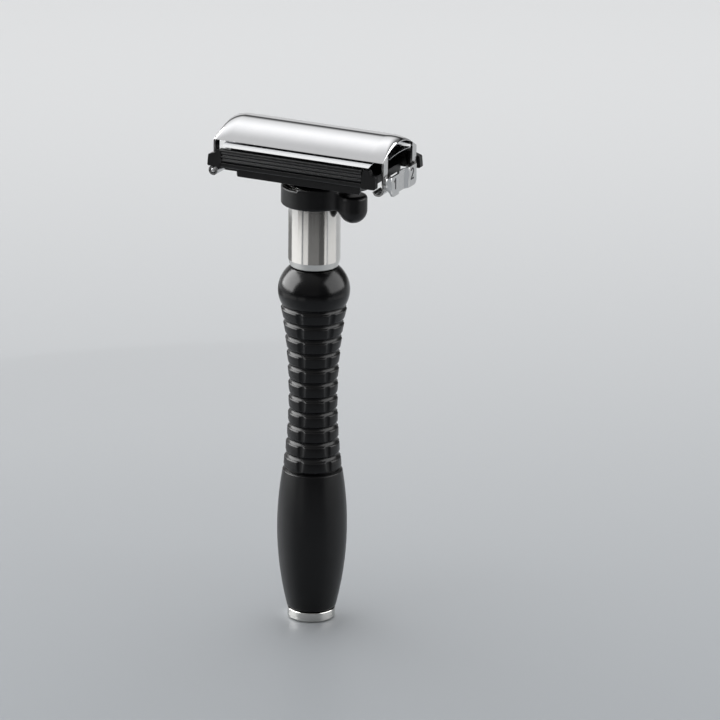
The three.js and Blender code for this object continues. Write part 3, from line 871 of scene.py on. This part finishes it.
def brake_plunger():
    """The plunger: a drum-shaped shoe on top and a cross hole for its pin."""
    plunger = Span("brake_plunger")
    shoulder = plunger.top - 0.4
    body = lathe("plunger_turning", [
        (0, plunger.bottom),
        (plunger.right, plunger.bottom, 0.25),
        (plunger.right, shoulder, 0.2),
        (0, shoulder),
    ], 64)
    joined(body, block("shoe", (-2.4, 2.4), (-1.4, 1.4), (shoulder - 0.6, plunger.top)))
    cradle = rod("cradle", "X", 0, PIVOT_PIN.z, DRUM_R + 0.35, -4, 4)
    hole = rod("hole", "Y", 0, CROSS_PIN.z, CROSS_PIN.right + 0.06, -4, 4)
    carved(body, cradle, hole)
    install(eased(body, 0.08, 2), "brake_plunger")


# ---- Head ----

BASE = Span("head_base")
BED = Span("blade_bed")
GUARD = Span("front_guard")
STRIP = Span("front_guard_strip")
SCREW_X = 11
STEM_HALF = 4.4
LUG_HALF = 3.6
RAIL_BACK = -9.45  # the guard's rail ends here; its foot reaches on to the base


def pivot_block():
    """The tray under the head with its skirt, stem and drum."""
    skirt = 107.9
    wall = 0.6
    floor_z = 107.6
    reach = BLOCK.back
    half = [
        (3, floor_z, 0.8),
        (reach - wall, floor_z + 1, 0.2),
        (reach - wall, skirt),
        (reach, skirt, 0.15),
        (reach, BLOCK.top),
    ]
    section = rounded([*half, *flipped(half, u=-1)])
    tray = prism("pivot_tray", "X", section, BLOCK.left, BLOCK.right)
    corners = rounded([
        (BLOCK.left, BLOCK.top),
        (BLOCK.left, skirt - 0.3, 1.0),
        (BLOCK.right, skirt - 0.3, 1.0),
        (BLOCK.right, BLOCK.top),
    ])
    trimmed(tray, prism("ends", "Y", corners, -reach - 1, reach + 1))
    stem = block("stem", (-STEM_HALF, STEM_HALF), (-1.4, 1.4), (PIVOT_PIN.z, floor_z + 0.8))
    drum = rod("drum", "X", 0, PIVOT_PIN.z, DRUM_R, -STEM_HALF, STEM_HALF)
    joined(tray, stem, drum)
    bore = rod("bore", "X", 0, PIVOT_PIN.z, PIVOT_PIN.back + 0.1, -6, 6)
    holes = [rod("hole", "Z", x, 0, 1.1, floor_z + 0.8, BLOCK.top + 1) for x in (-SCREW_X, SCREW_X)]
    carved(tray, bore, *holes)
    install(eased(tray, 0.12, 3), "pivot_block")


def head_base():
    """The plate over the tray, with the lug that carries the cap's hinge pin."""
    hinge_x, hinge_z = HINGE_PIN.x, HINGE_PIN.z
    eye = hinge_z - BASE.bottom
    left = -BASE.right
    bottom = BLOCK.top + 0.15
    outline = rounded([
        (left, BASE.front, 0.6),
        (BASE.right, BASE.front, 0.6),
        (BASE.right, BASE.back, 0.6),
        (left, BASE.back, 0.6),
    ])
    plate = prism("head_plate", "Z", outline, bottom, BASE.top)
    lug_outline = rounded([
        (left + 0.8, hinge_z - eye),
        (left + 0.8, BASE.top),
        (left - 0.6, BASE.top, 0.3),
        (left - 0.6, hinge_z + eye, 0.3),
        (hinge_x, hinge_z + eye),
        *arc(hinge_x, hinge_z, eye, 110, 250, 12),
        (hinge_x, hinge_z - eye),
    ])
    joined(plate, prism("lug", "Y", lug_outline, -LUG_HALF, LUG_HALF))
    hole = rod("hole", "Y", hinge_x, hinge_z, HINGE_PIN.right - hinge_x + 0.08, -5, 5)
    screws = [rod("screw", "Z", x, 0, 1.1, bottom - 2, BASE.top + 1) for x in (-SCREW_X, SCREW_X)]
    carved(plate, hole, *screws)
    install(eased(plate, 0.15, 3), "head_base")


def head_screws():
    """Two pan-head screws with a cross recess."""
    for x, node in ((-SCREW_X, "head_screw_left"), (SCREW_X, "head_screw_right")):
        screw = Span(node)
        head_low = BASE.top + 0.3
        head_r = (screw.right - screw.left) / 2
        body = lathe(node.replace("head_screw", "pan_screw"), [
            (0, head_low - 0.4),
            (0.9, head_low - 0.4),
            (0.9, head_low),
            (head_r, head_low, 0.1),
            (head_r, screw.top - 0.25, 0.2),
            (head_r - 0.6, screw.top, 0.3),
            (0, screw.top),
        ], 64)
        joined(body, threaded("shank", 0.9, screw.bottom, head_low - 0.3, 0.4, 0.14))
        recess = (screw.top - 0.45, screw.top + 1)
        for half_x, half_y in ((0.95, 0.22), (0.22, 0.95)):
            carved(body, block("recess", (-half_x, half_x), (-half_y, half_y), recess))
        install(eased(moved(body, x), 0.04, 2), node)


BLADE_CREST = 116.8
BLADE_CURVE = 0.012  # the blade falls off with the square of the distance from its middle
BLADE_HALF_SHEET = 0.05
BED_CLEAR = 0.3
STUD_X = 12  # the studs under the cap go through the blade's round holes into the bed's pockets


def blade_height(y):
    return BLADE_CREST - BLADE_CURVE * y * y


def arch(half_width, top_of, bottom_of, steps=40):
    """A closed strip between two heights across the head, drawn in YZ."""
    across = np.linspace(-half_width, half_width, steps + 1)
    return [(y, bottom_of(y)) for y in across] + [(y, top_of(y)) for y in across[::-1]]


def blade_bed():
    """The arched bed that bends the blade, with its pockets and lather slots."""
    lift = BLADE_HALF_SHEET + BED_CLEAR
    section = arch(BED.back, lambda y: blade_height(y) - lift, lambda y: blade_height(y) - lift - 1.2)
    crown = prism("bed_moulding", "X", section, BED.left, BED.right)
    eave = BASE.back - 0.1
    top = blade_height(eave) - 0.7
    for side in (-1, 1):
        wall = block("wall", (-12.5, 12.5), pair(side, eave, eave - 1.2), (BED.bottom, top))
        joined(crown, wall)
    through = (112, BLADE_CREST + 1)
    tools = [block("pocket", (x - 2.3, x + 2), (-1.5, 1.5), through) for x in (-STUD_X, STUD_X)]
    for side in (-1, 1):
        for x in (-12.6, -4.2, 4.2, 12.6):
            tools.append(block("slot", (x - 3, x + 3), pair(side, 5.2, 6.6), through))
    carved(crown, *tools)
    install(eased(crown, 0.15, 2), "blade_bed")


def guard_outline():
    """The guard's section in YZ: a foot, a recess for the ridged strip and a rounded top lip."""
    face = GUARD.front
    return rounded([
        (RAIL_BACK, GUARD.bottom),
        (face, GUARD.bottom, 0.45),
        (face, STRIP.bottom - 0.15, 0.12),
        (face + 0.62, STRIP.bottom - 0.15, 0.05),
        (face + 0.62, STRIP.top + 0.1, 0.05),
        (face, STRIP.top + 0.1, 0.1),
        (face, GUARD.top, 0.5),
        (RAIL_BACK, GUARD.top - 0.15, 0.2),
    ])


def guards():
    """Both guards: the front one is built and the rear one is the same piece turned round."""
    rail = prism("front_guard_moulding", "X", guard_outline(), -19.2, 16.9)
    cheek = rounded([
        (16.85, GUARD.bottom, 0.3),
        (16.85, 112.9, 1.2),
        (17.3, GUARD.top, 0.75),
        (18.95, GUARD.top, 0.75),
        (19.05, 113.5, 0.25),
        (20.4, 113.5, 0.3),
        (20.4, GUARD.bottom, 0.4),
    ])
    stop = rounded([
        (GUARD.left, GUARD.bottom + 0.15, 0.35),
        (-18.75, GUARD.bottom, 0.3),
        (-18.75, 114.3, 0.4),
        (-20.1, 114.3, 0.4),
        (-20.3, 113.75, 0.2),
        (GUARD.left + 0.25, 113.2, 0.5),
    ])
    joined(rail, prism("cheek", "Y", cheek, GUARD.front, RAIL_BACK))
    joined(rail, prism("stop", "Y", stop, GUARD.front, RAIL_BACK))
    foot_depth = (RAIL_BACK - 0.1, -BASE.back - 0.2)
    joined(rail, block("foot", (-15, 15), foot_depth, (GUARD.bottom, BASE.top)))
    eased(rail, 0.13, 3)
    rear = turned_round(rail, "rear_guard_moulding")
    install(rail, "front_guard")
    install(rear, "rear_guard")


def guard_strips():
    """The ridged strips set into the guards: three rounded ridges along each."""
    count = 3
    pitch = (STRIP.top - STRIP.bottom) / count
    front = STRIP.front
    outline = [(STRIP.back, STRIP.bottom)]
    for ridge in range(count):
        middle = STRIP.bottom + (ridge + 0.5) * pitch
        outline += [(front + 0.34, middle - 0.42)]
        outline += [(front + 0.24 + y, middle + z) for y, z in arc(0, 0, 0.24, 270, 90, 8)]
        outline += [(front + 0.34, middle + 0.42)]
    outline += [(STRIP.back, STRIP.top)]
    strip = prism("front_ridged_strip", "X", outline, STRIP.left, STRIP.right)
    rear = turned_round(strip, "rear_ridged_strip")
    install(strip, "front_guard_strip")
    install(rear, "rear_guard_strip")


# ---- Cap ----

CAP = Span("cap_shell")
CORE = Span("cap_core")
CAP_FLAT_HALF = 17.9
CAP_RIM_CREST = 119
CAP_EDGE_Z = 116.22
CAP_SHEET = 0.45


def arc_height(crest, edge, half, y):
    sagitta = crest - edge
    radius = (half ** 2 + sagitta ** 2) / (2 * sagitta)
    return crest - radius + math.sqrt(max(radius ** 2 - y * y, 0))


def cap_layer(inset):
    """The cap's surface, or the one a sheet's thickness under it, as rows of points along X."""
    across = np.sin(np.linspace(-1, 1, 65) * math.pi / 2.6) / math.sin(math.pi / 2.6)
    half = CAP.back - inset * 0.8
    turn = np.linspace(0, math.pi / 2, 21)
    ends = [
        (CAP_FLAT_HALF + (CAP.right - CAP_FLAT_HALF - inset) * math.sin(t),
         CAP_RIM_CREST + (CAP.top - CAP_RIM_CREST - inset) * math.cos(t))
        for t in turn
    ]
    flat = [(x, CAP.top - inset) for x in np.linspace(0, CAP_FLAT_HALF, 13)[:-1]]
    right = flat + ends
    rows = [(-x, z) for x, z in right[:0:-1]] + right
    return [[(x, half * s, arc_height(z, CAP_EDGE_Z, half, half * s)) for s in across] for x, z in rows]


def cap_shell():
    """The chromed cap: a curved sheet rounded down at both ends."""
    outer, inner = cap_layer(0), cap_layer(CAP_SHEET)
    rows, columns = len(outer), len(outer[0])
    points = [p for row in outer for p in row] + [p for row in inner for p in row]
    layer = rows * columns
    faces = []
    for i in range(rows - 1):
        for j in range(columns - 1):
            a = i * columns + j
            faces.append((a, a + columns, a + columns + 1, a + 1))
            faces.append((layer + a, layer + a + 1, layer + a + columns + 1, layer + a + columns))
    rim = [i * columns for i in range(rows)]
    rim += [(rows - 1) * columns + j for j in range(1, columns)]
    rim += [i * columns + columns - 1 for i in range(rows - 2, -1, -1)]
    rim += list(range(columns - 2, 0, -1))
    for a, b in zip(rim, rim[1:] + rim[:1]):
        faces.append((a, a + layer, b + layer, b))
    shell = new_piece("chromed_cap", points, faces)
    install(eased(shell, 0.12, 3, 50), "cap_shell", angle=55)


def cap_core():
    """The moulding inside the cap that presses the blade down, with its two studs."""
    under_cap = CAP_SHEET + 0.25
    over_blade = BLADE_HALF_SHEET + 0.2
    section = arch(
        CORE.back,
        lambda y: arc_height(CAP.top, CAP_EDGE_Z, CAP.back, y) - under_cap,
        lambda y: blade_height(y) + over_blade,
    )
    core = prism("cap_insert", "X", section, CORE.left, CORE.right)
    root = BLADE_CREST + 1
    corners = [(0, CORE.bottom), (1.1, CORE.bottom, 0.3), (1.1, root), (0, root)]
    for x in (-STUD_X, STUD_X):
        joined(core, moved(lathe("stud", corners, FINE), x))
    install(eased(core, 0.1, 2), "cap_core")


def blade():
    """The double-edge blade: notched corners, a waisted slot, and both edges ground thin."""
    length, width = BLADE.right, BLADE.back
    edge_length = 18.7
    tab = 6.1
    corners = [(length, tab, 0.5), (edge_length, tab, 0.25), (edge_length, width)]
    right = [*flipped(corners, v=-1), *corners]
    outline = rounded([*right, *flipped(right, u=-1)])
    slot_half = 16.5
    sheet = prism("razor_blade", "Z", outline, -BLADE_HALF_SHEET, BLADE_HALF_SHEET)
    tools = [block("slot", (-slot_half, slot_half), (-0.6, 0.6), (-1, 1))]
    tools += [rod("hole", "Z", x, 0, 1.6, -1, 1) for x in (-STUD_X, 0, STUD_X)]
    hexagon = [(-2.6, 0), (-1.4, -1.9), (1.4, -1.9), (2.6, 0), (1.4, 1.9), (-1.4, 1.9)]
    for x in (-7.2, 7.2):
        tools.append(prism("waist", "Z", [(x + u, v) for u, v in hexagon], -1, 1))
    carved(sheet, *tools)
    form = bmesh.new()
    form.from_mesh(sheet.data)
    bevels = [side * (width - inset) for side in (-1, 1) for inset in (0.3, 1.0)]
    for y in [*np.arange(-10, 10.1, 0.5), *bevels]:
        geometry = [*form.verts, *form.edges, *form.faces]
        bmesh.ops.bisect_plane(form, geom=geometry, plane_co=(0, y * MM, 0), plane_no=(0, 1, 0))
    for vertex in form.verts:
        y = vertex.co.y / MM
        thin = min(1, (width - abs(y)) * 0.7 + 0.06)
        along = abs(vertex.co.x / MM) <= edge_length + 0.01
        vertex.co.z = vertex.co.z * (thin if along else 1) + blade_height(y) * MM
    form.to_mesh(sheet.data)
    form.free()
    install(sheet, "blade", angle=20)


def leg(name, x, bottom, side):
    """An upright leg whose top follows the cap's rim."""
    inner, outer = 6.6, 8.75
    across = np.linspace(outer, inner, 8)
    top = [(y, arc_height(CAP_RIM_CREST, CAP_EDGE_Z, CAP.back, y) - 0.12) for y in across]
    outline = [(inner, bottom), (outer, bottom), *top]
    return prism(name, "X", [(side * y, z) for y, z in outline], *x)


def hinge_frame():
    """The pressed frame at the left end, curled into two knuckles around the hinge pin."""
    hinge_x, hinge_z = HINGE_PIN.x, HINGE_PIN.z
    sheet = 0.45
    x = (-21.75, -21.25)
    cross = block("hinge_pressing", x, (-8.7, 8.7), (110.4, 112.5))
    curl_r = 1.15 - sheet / 2
    for side in (-1, 1):
        joined(cross, leg("leg", x, 110.6, side))
        path = [(-21.5, 111), (-21.45, 110.2), (hinge_x + curl_r + 0.02, hinge_z + 0.6)]
        path += arc(hinge_x, hinge_z, curl_r, 0, -250, 26)
        joined(cross, prism("knuckle", "Y", ribbon(path, sheet), *pair(side, 4, 8.5)))
    install(eased(cross, 0.08, 2), "hinge_frame")


# ---- Latch ----

LATCH = Span("side_latch")
LATCH_SHEET = 0.5
LATCH_PLATE_TOP = 112.5
DIGIT_PROUD = 0.05
DIGIT_TOP = 111.9
DIGIT_BOTTOM = 109.3


def side_latch():
    """The sprung clip: a waved and numbered plate, two legs and two curled feet."""
    face = LATCH.right - DIGIT_PROUD
    half_wave = [
        (21.65, -8.7),
        (22.05, -7.7, 0.6),
        (face, -6.6, 0.8),
        (face, -2.8, 0.8),
        (21.95, -1.3, 0.6),
    ]
    wave = rounded([*half_wave, *flipped(half_wave, v=-1)], closed=False)
    line = [(x - LATCH_SHEET / 2, y) for x, y in wave]
    plate = prism("latch_pressing", "Z", ribbon(line, LATCH_SHEET), LATCH.bottom, LATCH_PLATE_TOP)
    half_front = [
        (-8.1, LATCH_PLATE_TOP),
        (-8.2, 111.3, 0.3),
        (-8.2, 110.6, 0.3),
        (-7.8, 110.3, 0.4),
        (-6, LATCH.bottom, 1.0),
    ]
    front = rounded([*half_front, *flipped(half_front, u=-1)])
    trimmed(plate, prism("front", "X", front, 20, 24))
    foot_line = rounded([
        (21.2, 112.2),
        (21.2, 109.0, 1.0),
        (20.35, 108.35, 0.6),
        (19.25, 108.35, 0.6),
        (18.75, 109.15),
    ], closed=False)
    for side in (-1, 1):
        joined(plate, leg("leg", (21.05, 21.55), 111.0, side))
        joined(plate, prism("foot", "Y", ribbon(foot_line, 0.45), *pair(side, 4.6, 8.4)))
    install(eased(plate, 0.08, 2), "side_latch")


def stroke(path, weight):
    """A painted stroke on the latch's face."""
    face = LATCH.right - DIGIT_PROUD
    return prism("stroke", "X", ribbon(path, weight), face - 0.1, LATCH.right)


def latch_digits():
    """The digits that name the blade's two edges."""
    weight = 0.36
    y = -4.6
    one = stroke([(y, DIGIT_BOTTOM), (y, DIGIT_TOP)], weight)
    one.name = "digit_one"
    joined(one, stroke([(y - 0.75, DIGIT_TOP - 0.75), (y + 0.1, DIGIT_TOP - 0.1)], weight * 0.9))
    y = 4.4
    line = DIGIT_BOTTOM + 0.16
    two = stroke([*arc(y, DIGIT_TOP - 0.62, 0.6, 170, -35, 14), (y - 0.62, line)], weight)
    two.name = "digit_two"
    joined(two, stroke([(y - 0.78, line), (y + 0.75, line)], weight))
    for digit in (one, two):
        digit.data.materials.append(INK.material)
        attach(digit, "latch")


# ---- Studio ----

CAMERA_AZIMUTH = 25.8  # degrees from the front towards the latch
CAMERA_DISTANCE = 1.33
CAMERA_HEIGHT = 0.512
LOOK_LEFT = 25.334
LOOK_DOWN = 18.637
ROLL = 0.64
LENS = 302


def around(azimuth, distance, height):
    """A point around the handle, in metres; azimuth 0 is the front and 90 the latch's side."""
    angle = math.radians(azimuth)
    return Vector((distance * math.sin(angle), -distance * math.cos(angle), height))


def view():
    """The camera, three quarters from the latch's side and a little above."""
    scene = bpy.context.scene
    scene.view_settings.view_transform = "Standard"
    data = bpy.data.cameras.new("camera")
    data.lens = LENS
    data.sensor_width = 36
    data.clip_end = 20
    camera = linked("camera", data)
    turn = Matrix.Rotation(math.radians(LOOK_LEFT), 4, "Z")
    nod = Matrix.Rotation(math.radians(90 - LOOK_DOWN), 4, "X")
    roll = Matrix.Rotation(math.radians(ROLL), 4, "Z")
    place = Matrix.Translation(around(CAMERA_AZIMUTH, CAMERA_DISTANCE, CAMERA_HEIGHT))
    camera.matrix_world = place @ turn @ nod @ roll
    scene.camera = camera


def softbox(name, place, aim, width, height, radiance, shown):
    """A rectangle of light that faces a point; it either shows in reflections or lights the floor."""
    data = bpy.data.lights.new(name, "AREA")
    data.shape = "RECTANGLE"
    data.size = width
    data.size_y = height
    data.energy = radiance * math.pi * width * height
    light = linked(name, data)
    turn = (aim - place).to_track_quat("-Z", "Y").to_matrix().to_4x4()
    light.matrix_world = Matrix.Translation(place) @ turn
    light.visible_camera = False
    light.visible_glossy = shown
    light.visible_diffuse = not shown


def card(name, start, end, radiance, bottom=0.5, top=37):
    """A curved card that only shows in reflections. Its angles start at the camera."""
    radius = 205
    angles = [math.radians(CAMERA_AZIMUTH + turn) for turn in np.linspace(start, end, 9)]
    low = [(radius * math.sin(a), -radius * math.cos(a), bottom) for a in angles]
    high = [(x, y, top) for x, y, _ in low]
    faces = [(i, i + 1, i + 10, i + 9) for i in range(8)]
    sheet = new_piece(name, low + high, faces)
    finish = Finish(name, Emission_Strength=radiance, IOR=1.0)
    finish.set("Base Color", (0, 0, 0, 1))
    finish.set("Emission Color", (1, 1, 1, 1))
    sheet.data.materials.append(finish.material)
    sheet.visible_camera = False
    sheet.visible_diffuse = False
    sheet.visible_shadow = False


def studio():
    """Two side boxes and rings of cards for the reflections, and one box overhead for the floor."""
    grip = Vector((0, 0, 0.08))
    softbox("left_box", around(CAMERA_AZIMUTH - 100, 0.38, 0.26), grip, 0.5, 0.4, 8.5, True)
    softbox("right_box", around(CAMERA_AZIMUTH + 84, 0.38, 0.26), grip, 0.55, 0.38, 3.6, True)
    softbox("top_box", around(CAMERA_AZIMUTH + 180, 0.3, 1.4), grip, 1.6, 1.6, 1.75, False)
    card("back_left_card", -178, -118, 0.24)
    card("left_card", -116, -58, 1.3)
    card("left_strip", -50, -28, 1.05)
    card("front_card", -27, 20, 0.24)
    card("front_dark_card", 20, 44, 0.12)
    card("right_strip", 44, 55, 1)
    card("right_card", 61, 108, 0.95)
    card("front_shade", -78, 58, 0.02, 37.5, 80)


def floor():
    """A pale floor with painted shade: a little darker towards the front, standing in for the light's
    falloff.
    """
    size = 4000
    corners = [(-size, -size, 0), (size, -size, 0), (size, size, 0), (-size, size, 0)]
    plane = new_piece("floor", corners, [(0, 1, 2, 3)])
    finish = Finish("floor_acrylic", IOR=1.3)
    depth = finish.along("Y") * 0.9 - finish.along("X") * 0.43
    # Painted shade: the floor's colour runs from shaded and slightly blue near the camera to pale and
    # lit far off.
    painted_shade_near, painted_light_far = (0.42, 0.445, 0.47), (0.8, 0.81, 0.82)
    finish.colour(depth.ramp(-160, 520), painted_shade_near, painted_light_far)
    finish.set("Roughness", 0.4)
    plane.data.materials.append(finish.material)


class Sky(Finish):
    """The world's node tree, with the same tools as a finish."""

    def __init__(self):
        world = bpy.data.worlds.new("room")
        bpy.context.scene.world = world
        world.use_nodes = True
        self.tree = world.node_tree
        self.shader = self.tree.nodes["Background"]
        self.place = self.node("TexCoord", output="Generated")


def surroundings():
    """A soft vault of light: dark at the horizon behind, brightest half way up, dim again in front."""
    sky = Sky()
    azimuth = math.radians(CAMERA_AZIMUTH)
    behind = sky.along("Y") * math.cos(azimuth) - sky.along("X") * math.sin(azimuth)
    rise = sky.along("Z").math("ARCTAN2", sky.along("Z"), behind) * (180 / math.pi)
    aside = sky.along("X") * math.cos(azimuth) + sky.along("Y") * math.sin(azimuth)
    glow = 0.62 - 0.55 * rise.ramp(13, 19) + 0.66 * rise.ramp(22, 33) + 0.42 * rise.ramp(27, 58)
    fade = 0.56 * rise.ramp(55, 93) + 0.35 * rise.ramp(100, 165)
    left = 1 - 0.5 * (0 - aside).ramp(0.5, 0.9)
    right = 1 - 0.8 * aside.ramp(0.15, 0.55)
    sky.set("Strength", (glow - fade) * left * right)
    sky.set("Color", (1, 1, 1, 1))


view()
studio()
floor()
surroundings()
end_cap()
tie_rod()
washer_like("ballast_turning", "ballast_weight", ROD.right + 0.2, 0.3)
handle_grip()
neck_sleeve()
washer_like("tie_washer_turning", "tie_washer", ROD.right + 0.15, 0.1)
tie_nut()
washer_like("guide_bush", "plunger_guide", 3.15, 0.15)
swivel_cup()
pin("pivot_pin", "pivot_dowel", "X", 0.12)
springs()
lock_ring()
brake_plunger()
pin("cross_pin", "cross_dowel", "Y", 0.08)
pivot_block()
head_base()
head_screws()
blade_bed()
guards()
guard_strips()
pin("cap_hinge_pin", "hinge_dowel", "Y", 0.12)
cap_shell()
cap_core()
blade()
hinge_frame()
side_latch()
latch_digits()

for name, node in frame["nodes"].items():
    if not node.hide_render:
        node.data.materials.clear()
        node.data.materials.append(FINISHES[SLOT_OF[name]].material)
